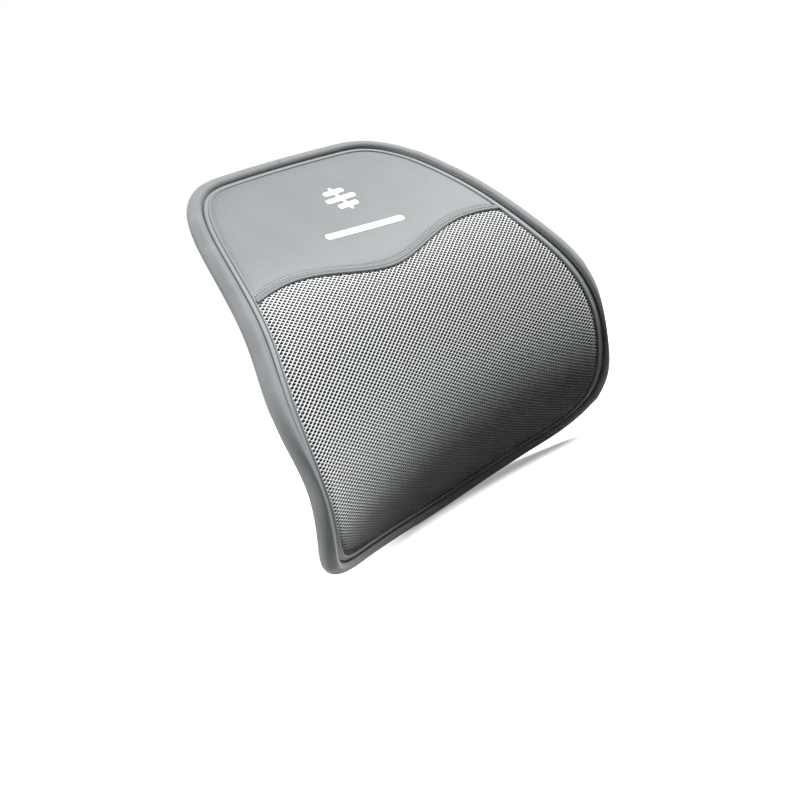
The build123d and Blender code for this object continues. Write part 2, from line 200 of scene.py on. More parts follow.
def nearest_edge(x, z):
    """Signed distance inside the panel edge and the nearest step of it."""
    far, which = np.empty(len(x)), np.empty(len(x), int)
    for start in range(0, len(x), 20000):
        part = slice(start, start + 20000)
        gap = np.hypot(x[part, None] - EDGE[:, 0], z[part, None] - EDGE[:, 1])
        which[part] = gap.argmin(1)
        far[part] = gap.min(1)
    side = (x - EDGE[which, 0]) * OUTWARD[which, 0] + (z - EDGE[which, 1]) * OUTWARD[which, 1]
    return np.where(side > 0, -far, far), which


def settle(x, z, limit=0.7):
    """Pulls points that lie outside the panel edge back on to it."""
    inside, which = nearest_edge(x, z)
    over = inside < -limit
    x, z = x.copy(), z.copy()
    x[over] = EDGE[which[over], 0] + OUTWARD[which[over], 0] * limit
    z[over] = EDGE[which[over], 1] + OUTWARD[which[over], 1] * limit
    return x, z, inside


def smooth_step(value):
    value = np.clip(value, 0, 1)
    return value * value * (3 - 2 * value)


# ---- Mesh helpers ----------------------------------------------------------------------------
def mesh_object(name, points, faces, material, uv=None, body="cushion", smooth=True):
    data = bpy.data.meshes.new(name)
    data.from_pydata((np.asarray(points, float) * MM).tolist(), [], [list(map(int, f)) for f in faces])
    if uv is not None:
        layer = data.uv_layers.new(name="surface")
        corner = np.empty(len(data.loops), int)
        data.loops.foreach_get("vertex_index", corner)
        layer.data.foreach_set("uv", (np.asarray(uv, float) * MM)[corner].ravel())
    data.polygons.foreach_set("use_smooth", [smooth] * len(data.polygons))
    data.materials.append(material)
    data.update()
    thing = bpy.data.objects.new(name, data)
    bpy.context.scene.collection.objects.link(thing)
    if body:
        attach(thing, body)
    return thing


def grid_faces(rows, columns, wrap_rows=False, wrap_columns=False):
    faces = []
    for i in range(rows if wrap_rows else rows - 1):
        for j in range(columns if wrap_columns else columns - 1):
            a, b = i * columns + j, i * columns + (j + 1) % columns
            c, d = ((i + 1) % rows) * columns + (j + 1) % columns, ((i + 1) % rows) * columns + j
            faces.append((a, b, c, d))
    return faces


def ring_sweep(name, profile, material, close=False, start=0.0, stretch=None):
    """Sweeps a profile of (outwards, height) pairs round the panel edge."""
    prof = np.array(profile, float)
    wide = np.ones(EDGE_STEPS) if stretch is None else stretch
    out = start + prof[None, :, 0] * wide[:, None]
    high = prof[None, :, 1] + np.zeros((EDGE_STEPS, 1))
    points = BASE[:, None] + OUT[:, None] * out[..., None] + NORMAL[:, None] * high[..., None]
    run = np.linalg.norm(np.roll(points[:, 0], -1, 0) - points[:, 0], axis=1)
    length = np.concatenate([[0], np.cumsum(run)[:-1]])
    across = np.concatenate([[0], np.cumsum(np.linalg.norm(np.diff(prof, axis=0), axis=1))])
    uv = np.stack(np.broadcast_arrays(length[:, None], across[None]), -1).reshape(-1, 2)
    faces = grid_faces(EDGE_STEPS, len(prof), True, close)
    return mesh_object(name, points.reshape(-1, 3), faces, material, uv)


def tube(name, line, side, up, material, radius, sides):
    """Round bar along a line, with its cross section in the directions side and up."""
    turn = np.linspace(0, 2 * np.pi, sides, endpoint=False)
    points = (line[:, None] + side[:, None] * (radius[0] * np.cos(turn))[None, :, None]
              + up[:, None] * (radius[1] * np.sin(turn))[None, :, None])
    run = np.concatenate([[0], np.cumsum(np.linalg.norm(np.diff(line, axis=0), axis=1))])
    uv = np.stack(np.broadcast_arrays(run[:, None], (turn * radius[0])[None]), -1).reshape(-1, 2)
    faces = grid_faces(len(line), sides, False, True)
    faces += [tuple(range(sides))[::-1], tuple((len(line) - 1) * sides + k for k in range(sides))]
    return mesh_object(name, points.reshape(-1, 3), faces, material, uv)


def stitches(name, line, up, material, pitch=STITCH_PITCH, length=STITCH_LENGTH, radius=STITCH_RADIUS):
    """Separate stitches of thread laid along a line, each one dipping into the cloth at its ends."""
    run = np.concatenate([[0], np.cumsum(np.linalg.norm(np.diff(line, axis=0), axis=1))])
    starts = np.arange(pitch / 2, run[-1] - length, pitch)
    share = np.array([0, 0.12, 0.35, 0.65, 0.88, 1.0])
    thick = np.array([0.3, 0.8, 1, 1, 0.8, 0.3])
    lift = np.array([-0.8, 0.1, 0.45, 0.45, 0.1, -0.8])
    turn = np.linspace(0, 2 * np.pi, 7, endpoint=False)
    points, faces, uv = [], [], []
    for start in starts:
        place = start + share * length
        centre = np.stack([np.interp(place, run, line[:, k]) for k in range(3)], -1)
        top = np.stack([np.interp(place, run, up[:, k]) for k in range(3)], -1)
        ahead = centre[-1] - centre[0]
        side = np.cross(ahead / np.linalg.norm(ahead), top)
        centre = centre + top * (lift * radius)[:, None]
        r = (thick * radius)[:, None, None]
        ring = centre[:, None] + side[:, None] * np.cos(turn)[None, :, None] * r
        ring = ring + top[:, None] * np.sin(turn)[None, :, None] * r
        base = len(points) * len(share) * len(turn)
        points.append(ring.reshape(-1, 3))
        uv.append(np.stack(np.broadcast_arrays(place[:, None], turn[None] * radius), -1).reshape(-1, 2))
        block = grid_faces(len(share), len(turn), False, True)
        last = (len(share) - 1) * len(turn)
        block += [tuple(range(len(turn)))[::-1], tuple(last + k for k in range(len(turn)))]
        faces += [tuple(v + base for v in face) for face in block]
    return mesh_object(name, np.concatenate(points), faces, material, np.concatenate(uv))


# ---- Materials -------------------------------------------------------------------------------
class Nodes:
    """Small helper that adds and links shader nodes."""

    def __init__(self, name, colour, roughness, sheen=0.0, metallic=0.0, specular=0.5):
        self.material = bpy.data.materials.new(name)
        self.material.use_nodes = True
        self.tree = self.material.node_tree
        self.shader = self.tree.nodes["Principled BSDF"]
        self.shader.inputs["Base Color"].default_value = (*colour, 1)
        self.shader.inputs["Roughness"].default_value = roughness
        self.shader.inputs["Sheen Weight"].default_value = sheen
        self.shader.inputs["Sheen Roughness"].default_value = 0.45
        self.shader.inputs["Metallic"].default_value = metallic
        self.shader.inputs["Specular IOR Level"].default_value = specular
        self.colour = colour

    def add(self, kind, inputs=None, **settings):
        node = self.tree.nodes.new(kind)
        for key, value in settings.items():
            setattr(node, key, value)
        for key, value in (inputs or {}).items():
            if isinstance(value, bpy.types.NodeSocket):
                self.tree.links.new(value, node.inputs[key])
            else:
                node.inputs[key].default_value = value
        return node

    def place(self, scale=(1, 1, 1)):
        coordinate = self.add("ShaderNodeTexCoord").outputs["Object"]
        return self.add("ShaderNodeMapping", {"Vector": coordinate, "Scale": scale}).outputs[0]

    def noise(self, vector, scale, detail=3.0, roughness=0.55):
        return self.add("ShaderNodeTexNoise", {"Vector": vector, "Scale": scale, "Detail": detail,
                                               "Roughness": roughness}).outputs["Fac"]

    def maths(self, operation, first, second=0.0, third=None):
        inputs = {0: first, 1: second}
        if third is not None:
            inputs[2] = third
        return self.add("ShaderNodeMath", inputs, operation=operation).outputs[0]

    def ramp(self, value, low, high, start=0.0, end=1.0):
        return self.add("ShaderNodeMapRange", {"Value": value, "From Min": start, "From Max": end,
                                               "To Min": low, "To Max": high}).outputs["Result"]

    def tint(self, value, dark, light):
        """Colour that runs between two multiples of the base colour."""
        mix = self.add("ShaderNodeMix", {"Factor": value}, data_type="RGBA")
        mix.inputs["A"].default_value = (*[c * dark for c in self.colour], 1)
        mix.inputs["B"].default_value = (*[c * light for c in self.colour], 1)
        self.tree.links.new(mix.outputs["Result"], self.shader.inputs["Base Color"])

    def rough(self, value, low, high):
        self.tree.links.new(self.ramp(value, low, high), self.shader.inputs["Roughness"])

    def bump(self, height, strength, distance):
        node = self.add("ShaderNodeBump", {"Height": height, "Strength": strength, "Distance": distance})
        self.tree.links.new(node.outputs[0], self.shader.inputs["Normal"])


def leatherette(name, colour, grain=560.0, roughness=(0.52, 0.68), depth=0.00020, sheen=0.12):
    m = Nodes(name, colour, 0.6, sheen)
    where = m.place()
    voronoi = m.add("ShaderNodeTexVoronoi", {"Vector": where, "Scale": grain}, feature="SMOOTH_F1")
    cells = voronoi.outputs["Distance"]
    fine = m.noise(where, grain * 2.2, 2.0)
    cloud = m.noise(where, 26.0, 3.0)
    grainy = m.maths("ADD", m.maths("MULTIPLY", cells, 0.7), m.maths("MULTIPLY", fine, 0.5))
    shade = m.maths("ADD", m.maths("MULTIPLY", cloud, 0.25), m.maths("MULTIPLY", fine, 0.75))
    m.tint(m.ramp(shade, 0, 1, 0.35, 0.65), 0.82, 1.14)
    m.rough(fine, *roughness)
    m.bump(grainy, 0.55, depth)
    return m.material


def ribbed(name, colour, pitch=0.0011, depth=0.00010, contrast=(0.78, 1.18), sheen=0.15, diagonal=0.0):
    """Fine ribs across a strip, as on the border band; with a diagonal, a twill."""
    m = Nodes(name, colour, 0.62, sheen)
    uv = m.add("ShaderNodeSeparateXYZ", {"Vector": m.add("ShaderNodeTexCoord").outputs["UV"]})
    along = m.maths("MULTIPLY_ADD", uv.outputs[1], diagonal, uv.outputs[0])
    wobble = m.maths("MULTIPLY", m.noise(m.place(), 240.0, 2.0), pitch * 0.8)
    wave = m.maths("SINE", m.maths("MULTIPLY", m.maths("ADD", along, wobble), 2 * math.pi / pitch))
    cross = m.maths("SINE", m.maths("MULTIPLY", uv.outputs[1], 2 * math.pi / (pitch * 0.8)))
    weave = m.maths("MULTIPLY_ADD", cross, 0.35, wave)
    cloud = m.noise(m.place(), 30.0, 3.0)
    shade = m.maths("MULTIPLY_ADD", weave, 0.22, cloud)
    m.tint(m.ramp(shade, 0, 1, 0.2, 0.8), *contrast)
    m.rough(cloud, 0.55, 0.72)
    m.bump(weave, 0.6, depth)
    return m.material


def knit(name, colour, scale=1400.0, sheen=0.25, contrast=(0.86, 1.08), depth=0.00015, roughness=(0.7, 0.9)):
    m = Nodes(name, colour, 0.8, sheen)
    where = m.place()
    fibre = m.noise(where, scale, 4.0, 0.65)
    cloud = m.noise(where, 22.0, 2.0)
    shade = m.maths("ADD", m.maths("MULTIPLY", fibre, 0.7), m.maths("MULTIPLY", cloud, 0.3))
    m.tint(m.ramp(shade, 0, 1, 0.32, 0.68), *contrast)
    m.rough(fibre, *roughness)
    m.bump(fibre, 0.5, depth)
    return m.material


def air_mesh_look(name, colour):
    """Pale strands, with painted shade that darkens them towards the holes, where the attribute "rise" falls to
    zero.
    """
    m = Nodes(name, colour, 0.75, 0.2)
    fibre = m.noise(m.place(), 1900.0, 4.0, 0.65)
    rise = m.add("ShaderNodeAttribute", attribute_name="rise").outputs["Fac"]
    # Painted shade: the ramp on "rise" darkens the strands to 4% of their colour round each hole.
    shade = m.maths("MULTIPLY", m.ramp(fibre, 0.88, 1.05, 0.3, 0.7), m.ramp(rise, 0.04, 1.0, 0.1, 0.85))
    m.tint(shade, 0.0, 1.0)
    m.rough(fibre, 0.65, 0.85)
    m.bump(fibre, 0.4, 0.00012)
    return m.material


def woven_tape(name, colour, pitch_along=0.0014, pitch_across=0.0011, depth=0.0002, contrast=(0.8, 1.15)):
    """Plain weave on a strip's own surface directions."""
    m = Nodes(name, colour, 0.75, 0.2)
    uv = m.add("ShaderNodeSeparateXYZ", {"Vector": m.add("ShaderNodeTexCoord").outputs["UV"]})
    warp = m.maths("SINE", m.maths("MULTIPLY", uv.outputs[1], 2 * math.pi / pitch_across))
    weft = m.maths("SINE", m.maths("MULTIPLY", uv.outputs[0], 2 * math.pi / pitch_along))
    weave = m.maths("MULTIPLY", warp, weft)
    ribs = m.maths("MULTIPLY_ADD", weft, 0.5, weave)
    fluff = m.noise(m.place(), 1500.0, 3.0)
    m.tint(m.ramp(m.maths("MULTIPLY_ADD", ribs, 0.2, fluff), 0, 1, 0.2, 0.9), *contrast)
    m.rough(fluff, 0.65, 0.85)
    m.bump(ribs, 0.7, depth)
    return m.material


def moulded(name, colour, roughness=(0.34, 0.5), grain=1100.0):
    m = Nodes(name, colour, 0.4)
    where = m.place()
    pits = m.noise(where, grain, 3.0)
    scuff = m.noise(where, 90.0, 5.0, 0.7)
    m.tint(m.ramp(scuff, 0, 1, 0.3, 0.75), 0.85, 1.5)
    m.rough(scuff, *roughness)
    m.bump(pits, 0.35, 0.00008)
    return m.material


def plated(name, colour):
    m = Nodes(name, colour, 0.35, metallic=1.0)
    where = m.place()
    brushed = m.noise(m.place(scale=(1, 6, 6)), 700.0, 3.0)
    wear = m.noise(where, 160.0, 4.0, 0.7)
    m.tint(m.ramp(wear, 0, 1, 0.35, 0.7), 0.75, 1.35)
    m.rough(brushed, 0.26, 0.46)
    m.bump(brushed, 0.2, 0.00005)
    return m.material


GREY_PANEL = (0.129, 0.139, 0.143)
GREY_BAND = (0.148, 0.158, 0.162)
MAT = {
    "panel": leatherette("upper_leatherette", GREY_PANEL),
    "band": ribbed("band_leatherette", GREY_BAND),
    "welt": leatherette("welt_leatherette", (0.17, 0.18, 0.185), grain=1200.0),
    "mesh": air_mesh_look("air_mesh_strand_with_painted_shade", (0.88, 0.90, 0.91)),
    "lining": knit("black_lining", (0.006, 0.006, 0.007), scale=900.0, sheen=0.05),
    "thread": ribbed("sewing_thread", (0.42, 0.44, 0.45), pitch=0.0007, depth=0.00008),
    "dark_thread": ribbed("dark_thread", (0.05, 0.052, 0.055), pitch=0.0007, depth=0.00008),
    "twill": ribbed("side_twill", (0.30, 0.315, 0.32), pitch=0.0012, diagonal=1.0, contrast=(0.85, 1.1)),
    "tape": woven_tape("binding_tape", (0.055, 0.058, 0.062)),
    "zip_tape": woven_tape("zip_tape_cloth", (0.03, 0.032, 0.035), 0.0009, 0.0009, 0.0001),
    "coil": moulded("zip_coil_nylon", (0.035, 0.037, 0.04), roughness=(0.28, 0.4)),
    "patch": leatherette("patch_leatherette", (0.035, 0.037, 0.04)),
    "back": knit("grip_cloth", (0.028, 0.029, 0.031), scale=1100.0, contrast=(0.7, 1.4)),
    "dots": moulded("grip_dots", (0.04, 0.042, 0.045), roughness=(0.3, 0.42)),
    "foam": knit("foam", (0.62, 0.58, 0.44), scale=500.0),
    "plastic": moulded("black_nylon", (0.016, 0.016, 0.018)),
    "metal": plated("gunmetal", (0.20, 0.205, 0.215)),
    "webbing": woven_tape("elastic_webbing", (0.018, 0.018, 0.02), 0.0019, 0.0016, 0.0003, (0.7, 1.7)),
    "print": leatherette("white_print", (0.86, 0.87, 0.87), grain=1000.0, roughness=(0.5, 0.62)),
    "label": woven_tape("label_satin", (0.75, 0.75, 0.73), 0.0005, 0.0005, 0.00004, (0.95, 1.03)),
}


# ---- Front of the cover ----------------------------------------------------------------------
def arc_table():
    """Heights and the length of cloth down the middle of the front, measured down from the seam."""
    z = np.linspace(-230, 120, 1401)
    y = front(np.zeros_like(z), z)
    run = np.concatenate([[0], np.cumsum(np.hypot(np.diff(z), np.diff(y)))])
    return z, np.interp(WAVE_SEAM[0][1], z, run) - run


def edge_dip(inside, reach=7.0, depth=1.3):
    """The cover sinks towards its sewn edges."""
    return -depth * smooth_step(1 - inside / reach)


def air_mesh():
    heights, lengths = arc_table()
    columns = np.arange(-64, 65)
    rows = np.arange(-22, 140)
    cell_x, cell_z = [a.ravel() for a in np.meshgrid(columns, rows)]
    keep = (cell_x + cell_z) % 2 == 0
    cell_x, cell_z = cell_x[keep], cell_z[keep]

    def place(u, v):
        x = u * HOLE_STEP_X
        length = v * HOLE_STEP_Z + MESH_TILT * x
        return x, np.interp(-length, -lengths, heights)

    x, z = place(cell_x, cell_z)
    inside, _ = nearest_edge(x, z)
    keep = (inside > -1.2) & (z < seam(x) + 1.0)
    cell_x, cell_z = cell_x[keep], cell_z[keep]
    around = np.array([(2, 0), (1, 1), (0, 2), (-1, 1), (-2, 0), (-1, -1), (0, -2), (1, -1)])
    corner_u = 2 * cell_x[:, None] + around[:, 0]
    corner_v = 2 * cell_z[:, None] + around[:, 1]
    keys, shared = np.unique(corner_u * 4096 + corner_v + 2048, return_inverse=True)
    shared = shared.reshape(corner_u.shape)
    key_u = np.floor_divide(keys, 4096)
    key_v = keys - key_u * 4096 - 2048
    outer_x, outer_z = place(key_u / 2, key_v / 2)
    outer_height = np.where((key_u + key_v) % 2 == 0, np.where(key_u % 2 == 0, 0.10, -0.10), 0.0)
    turn = np.arange(8) * math.pi / 4
    hole_u = cell_x[:, None] + np.cos(turn) * HOLE_RADIUS_X / HOLE_STEP_X
    hole_v = cell_z[:, None] + np.sin(turn) * HOLE_RADIUS_Z / HOLE_STEP_Z
    inner_x, inner_z = place(hole_u.ravel(), hole_v.ravel())
    x = np.concatenate([outer_x, inner_x])
    z = np.concatenate([outer_z, inner_z])
    height = np.concatenate([outer_height, np.full(len(inner_x), -HOLE_SINK)])
    x, z, inside = settle(x, z)
    above = z > seam(x) + 0.8
    z[above] = seam(x[above]) + 0.8
    height = height + edge_dip(inside) + edge_dip(seam(x) - z, 6.0, 0.9)
    first = len(outer_x)
    holes = first + np.arange(len(cell_x) * 8).reshape(-1, 8)
    faces = []
    for k in range(8):
        n = (k + 1) % 8
        faces.append(np.stack([shared[:, k], holes[:, k], holes[:, n], shared[:, n]], -1))
    faces = np.concatenate(faces)
    sheet = mesh_object("front_mesh", on_front(x, z, height), faces, MAT["mesh"], np.stack([x, z], -1))
    # "rise" is 1 on the strands and 0 on the ring round each hole; the mesh material paints shade into the
    # holes from it.
    rise = sheet.data.attributes.new("rise", "FLOAT", "POINT")
    rise.data.foreach_set("value", np.repeat([1.0, 0.0], [len(outer_x), len(inner_x)]))
    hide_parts("front_mesh_panel")


def panel_grid(xs, rises, base, limit):
    """Grid of front-view points at rises above a base curve, held inside the panel edge."""
    x = np.repeat(xs, len(rises))
    z = base(x) + np.tile(rises, len(xs))
    middle_x = (xs[:-1, None] + xs[1:, None]) / 2 + np.zeros(len(rises) - 1)
    middle_z = base(middle_x.ravel()).reshape(middle_x.shape) + (rises[:-1] + rises[1:]) / 2
    kept, _ = nearest_edge(middle_x.ravel(), middle_z.ravel())
    faces = np.array(grid_faces(len(xs), len(rises)))[kept > -limit]
    x, z, inside = settle(x, z)
    used, faces = np.unique(faces, return_inverse=True)
    return x[used], z[used], inside[used], np.tile(rises, len(xs))[used], faces.reshape(-1, 4)


def lining():
    xs, rises = np.arange(-180, 181, 4.0), np.arange(-260, 8, 4.0)
    x, z, inside, _, faces = panel_grid(xs, rises, seam, 3.0)
    sheet = mesh_object("mesh_lining_cloth", on_front(x, z, -2.1 + edge_dip(inside)), faces, MAT["lining"],
                        np.stack([x, z], -1))
    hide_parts("mesh_lining")


def upper_height(x, z, inside=None):
    """Rise of the upper panel: a rolled hem, the stitched furrow above it, and a soft crown."""
    if inside is None:
        inside, _ = nearest_edge(x, z)
    rise = z - seam(x)
    hem = 1.1 * np.exp(-((rise - 2.4) / 1.7) ** 2)
    furrow = -0.75 * np.exp(-((rise - STITCH_RISE) / 1.0) ** 2)
    crown = 0.55 * smooth_step((rise - STITCH_RISE) / 9) * smooth_step(inside / 16)
    return 0.25 + hem + furrow + crown + edge_dip(inside, 5.0, 0.8)


def upper_panel():
    rises = np.concatenate([[-1.2, -0.6, 0, 0.6, 1.2, 1.8, 2.4, 3.0, 3.6, 4.2, 4.8, 5.4, 6.2, 7.2, 8.6, 10.2],
                            np.arange(12, 150, 2.0)])
    x, z, inside, rise, faces = panel_grid(np.arange(-160, 160.1, 2.0), rises, seam, 1.6)
    height = upper_height(x, z, inside) - 1.6 * smooth_step(-rise / 1.2)
    sheet = mesh_object("upper_panel", on_front(x, z, height), faces, MAT["panel"], np.stack([x, z], -1))
    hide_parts("front_upper_panel")


def seam_line(rise, height, margin=1.0, step=1.0):
    """A line along the wave seam, with its normals."""
    x = np.arange(-165, 165.1, step)
    z = seam(x) + rise
    inside, _ = nearest_edge(x, z)
    x, z = x[inside > margin], z[inside > margin]
    high = height(x, z) if callable(height) else np.full(len(x), height)
    line = on_front(x, z, high)
    return line, on_front(x, z, high + 1) - line


def wave_seam():
    line, up = seam_line(-0.3, 0.55, margin=0.2)
    ahead = np.gradient(line, axis=0)
    side = np.cross(ahead / np.linalg.norm(ahead, axis=1)[:, None], up)
    roll = tube("wave_roll", line, side, up, MAT["panel"], (1.35, 0.95), 12)
    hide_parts("wave_fold")
    line, up = seam_line(STITCH_RISE, upper_height)
    row = stitches("wave_stitches", line, up, MAT["thread"])
    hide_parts("wave_topstitch")


def band_foot(x, z):
    """Extra width of the band along the bottom, most of it in the middle."""
    middle = np.exp(-(x / FOOT_SPREAD) ** 2)
    return BAND_FOOT * smooth_step((FOOT_START - z) / 24) * (0.5 + 0.5 * middle)


def band_width(x, z):
    """The band shows less where the sides curl back, and more along the bottom."""
    neck = BAND_NARROW * np.exp(-((z - BAND_NECK) / BAND_SPREAD) ** 2)
    return BAND_WIDTH - neck + band_foot(x, z)


def smooth_profile(points, close, steps=4):
    """Catmull-Rom curve through a profile's points."""
    pts = np.array(points, float)
    if close:
        pts = np.concatenate([pts[-1:], pts, pts[:2]])
    else:
        pts = np.concatenate([2 * pts[:1] - pts[1:2], pts, 2 * pts[-1:] - pts[-2:-1]])
    result = []
    for a, b, c, d in zip(pts[:-3], pts[1:-2], pts[2:-1], pts[3:]):
        for t in np.arange(steps) / steps:
            result.append(0.5 * (2 * b + (c - a) * t + (2 * a - 5 * b + 4 * c - d) * t ** 2
                                 + (3 * b - a - 3 * c + d) * t ** 3))
    if not close:
        result.append(pts[-2])
    return np.array(result)


def border():
    welt = ring_sweep("panel_welt_strip", smooth_profile(STRIP_PROFILE, False, 3), MAT["welt"])
    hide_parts("panel_welt")
    stretch = band_width(EDGE[:, 0], EDGE[:, 1]) / BAND_WIDTH
    band = ring_sweep("border_roll", smooth_profile(BAND_PROFILE, True, 3), MAT["band"], close=True,
                      start=BAND_START, stretch=stretch)
    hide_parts("border_band")


# ---- Sides and back --------------------------------------------------------------------------
def rim_points():
    """Where the side gusset leaves the band, and where it meets the back, all round."""
    width = band_width(EDGE[:, 0], EDGE[:, 1])
    start = BASE + OUT * (BAND_START + 0.72 * width)[:, None] - NORMAL * 8.6
    plain = width - band_foot(EDGE[:, 0], EDGE[:, 1])
    flat = EDGE + OUTWARD * ((BAND_START + plain - GUSSET_INSET) / np.hypot(1, edge_rise()))[:, None]
    depth = -front(flat[:, 0], flat[:, 1]) - BAND_BACK
    share = (depth / (TAPER_DEPTH + depth))[:, None]
    flat = flat * (1 - share * np.array([1 - BACK_WIDTH_SHARE, 1 - BACK_HEIGHT_SHARE]))
    return start, np.stack([flat[:, 0], np.full(len(flat), -1.2), flat[:, 1]], -1)


def gusset():
    start, end = rim_points()
    share = np.linspace(0, 1, 16)
    across = np.linalg.norm(end - start, axis=1)
    points = start[:, None] + (end - start)[:, None] * share[None, :, None]
    along = np.roll(points, -1, 0) - np.roll(points, 1, 0)
    side = np.cross(along, (end - start)[:, None] + np.zeros_like(points))
    side /= np.linalg.norm(side, axis=-1, keepdims=True)
    outwards = np.sign((side * OUT[:, None]).sum(-1, keepdims=True))
    swell = np.sin(math.pi * share)[None, :] * np.minimum(across / 40, 1)[:, None] * 0.8
    points = points + side * outwards * swell[..., None]
    run = np.concatenate([[0], np.cumsum(np.linalg.norm(np.diff(start, axis=0), axis=1))])
    uv = np.stack([np.repeat(run, len(share)), (across[:, None] * share[None]).ravel()], -1)
    faces = grid_faces(EDGE_STEPS, len(share), True)
    wall = mesh_object("side_gusset_cloth", points.reshape(-1, 3), faces, MAT["twill"], uv)
    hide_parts("side_gusset")


def foam():
    """Closed core under the cover, a little inside it all round."""
    start, end = rim_points()
    rings = []
    for share in (0.0, 0.25, 0.5, 0.75, 0.92, 1.0):
        flat = MIDDLE + (EDGE - MIDDLE) * max(share, 0.002)
        rings.append(on_front(flat[:, 0], flat[:, 1], np.full(len(flat), -4.4 - 1.6 * share ** 6)))
    for share in (0.08, 0.4, 0.75, 1.0):
        ring = start + (end - start) * share
        middle = np.array([0, ring[:, 1].mean(), 0])
        rings.append(ring + (middle - ring) * np.array([0.025, 0, 0.025]) - np.array([0, 1.2, 0]))
    back = rings[-1]
    for share in (0.6, 0.25, 0.002):
        rings.append(back * np.array([share, 1, share]))
    points = np.stack(rings)
    faces = grid_faces(len(rings), EDGE_STEPS, False, True)
    core = mesh_object("foam_body", points.reshape(-1, 3), faces, MAT["foam"])
    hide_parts("foam_core")


def back():
    _, rim = rim_points()
    flat = rim[:, [0, 2]]
    along = np.roll(flat, -1, 0) - np.roll(flat, 1, 0)
    along /= np.linalg.norm(along, axis=1)[:, None]
    out = np.stack([-along[:, 1], along[:, 0]], -1)
    turn = np.linspace(0, 2 * math.pi, 16, endpoint=False)
    tape = []
    for angle in turn:
        ring = flat + out * (-2.4 + 2.6 * math.cos(angle))
        depth = np.full(len(ring), -1.0 + 1.9 * math.sin(angle))
        tape.append(np.stack([ring[:, 0], depth, ring[:, 1]], -1))
    tape = np.stack(tape, 1)
    run = np.concatenate([[0], np.cumsum(np.linalg.norm(np.diff(rim, axis=0), axis=1))])
    uv = np.stack(np.broadcast_arrays(run[:, None], (turn * 2.2)[None]), -1).reshape(-1, 2)
    faces = grid_faces(EDGE_STEPS, len(turn), True, True)
    binding = mesh_object("back_binding_tape", tape.reshape(-1, 3), faces, MAT["tape"], uv)
    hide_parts("back_binding")
    shares = np.linspace(1, 0.002, 40)
    rings = []
    for share in shares:
        ring = MIDDLE + (flat - out * 3.6 - MIDDLE) * share
        depth = np.full(len(ring), -0.5 - 1.0 * smooth_step((share - 0.97) / 0.03))
        rings.append(np.stack([ring[:, 0], depth, ring[:, 1]], -1))
    points = np.concatenate(rings)
    faces = grid_faces(len(shares), EDGE_STEPS, False, True)
    panel = mesh_object("back_cloth", points, faces, MAT["back"], points[:, [0, 2]])
    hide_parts("back_panel")
    return flat - out * 9


def inside_loop(points, loop):
    """Which points lie inside a closed loop."""
    result = np.zeros(len(points), bool)
    x, z = points[:, 0], points[:, 1]
    for a, b in zip(loop, np.roll(loop, -1, 0)):
        crosses = (a[1] > z) != (b[1] > z)
        with np.errstate(divide="ignore", invalid="ignore"):
            at = (b[0] - a[0]) * (z - a[1]) / (b[1] - a[1]) + a[0]
        result ^= crosses & (x < at)
    return result


def grip_dots(loop):
    """Small domes of grip coating on the back cloth, left out under the strap, label and zipper."""
    pitch = 7.5
    places = []
    for row in range(-27, 28):
        for column in range(-20, 21):
            places.append(((column + 0.5 * (row % 2)) * pitch, row * pitch * 0.866))
    places = np.array(places)
    places = places[inside_loop(places, loop)]
    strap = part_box("strap_long")
    label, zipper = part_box("care_label"), (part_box("zipper_tape_lower")[0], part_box("zipper_tape_upper")[1])
    for low, high in (strap, label, zipper):
        low_x = -85 if low is strap[0] else low[0] / MM - 3
        high_x = 85 if low is strap[0] else high[0] / MM + 3
        hidden = (places[:, 0] > low_x) & (places[:, 0] < high_x)
        hidden &= (places[:, 1] > low[2] / MM - 4) & (places[:, 1] < high[2] / MM + 4)
        places = places[~hidden]
    turn = np.linspace(0, 2 * math.pi, 8, endpoint=False)
    rings = [(1.5, 0.0), (1.15, 0.42), (0.5, 0.62)]
    unit = [(r * math.cos(t), h - 0.55, r * math.sin(t)) for r, h in rings for t in turn]
    unit = np.array(unit + [(0, 0.1, 0)])
    block = grid_faces(3, 8, False, True) + [(16 + k, 16 + (k + 1) % 8, 24) for k in range(8)]
    points = (places[:, None, [0, 0, 1]] * np.array([1, 0, 1]) + unit[None]).reshape(-1, 3)
    faces = [tuple(v + base * 25 for v in face) for base in range(len(places)) for face in block]
    dots = mesh_object("back_grip_dots", points, faces, MAT["dots"])


# ---- Print on the front ------------------------------------------------------------------------
EMBLEM_PLACE, EMBLEM_COLUMN = (14.0, 121.0), (30.0, 3.6)
EMBLEM_RIBS, RIB_WIDTH = [(9.0, 23.0), (0.0, 34.0), (-9.0, 23.0)], 5.2
RULE_PLACE, RULE_SIZE, RULE_TILT = (5.0, 83.0), (86.0, 6.0), -4.5
PRINT_RISE = 0.14


def slot_grid(centre, length, width, tilt):
    """Points and faces of a flat bar with round ends."""
    radius, along, across = width / 2, 49, 7
    run = np.linspace(-1, 1, along)
    run = np.sign(run) * (1 - (1 - np.abs(run)) ** 1.4) * length / 2
    end = np.clip(np.abs(run) - (length / 2 - radius), 0, radius)
    half = np.sqrt(np.maximum(radius ** 2 - end ** 2, 1e-4))
    u = np.repeat(run, across)
    v = (half[:, None] * np.linspace(-1, 1, across)).ravel()
    c, d = math.cos(math.radians(tilt)), math.sin(math.radians(tilt))
    return centre[0] + u * c - v * d, centre[1] + u * d + v * c, grid_faces(along, across)


def printed(name, bars, node):
    xs, zs, faces = [], [], []
    for centre, length, width, tilt in bars:
        x, z, block = slot_grid(centre, length, width, tilt)
        base = sum(len(part) for part in xs)
        xs.append(x)
        zs.append(z)
        faces += [tuple(v + base for v in face) for face in block]
    x, z = np.concatenate(xs), np.concatenate(zs)
    points = on_front(x, z, upper_height(x, z) + PRINT_RISE)
    film = mesh_object(name, points, faces, MAT["print"], np.stack([x, z], -1))
    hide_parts(node)


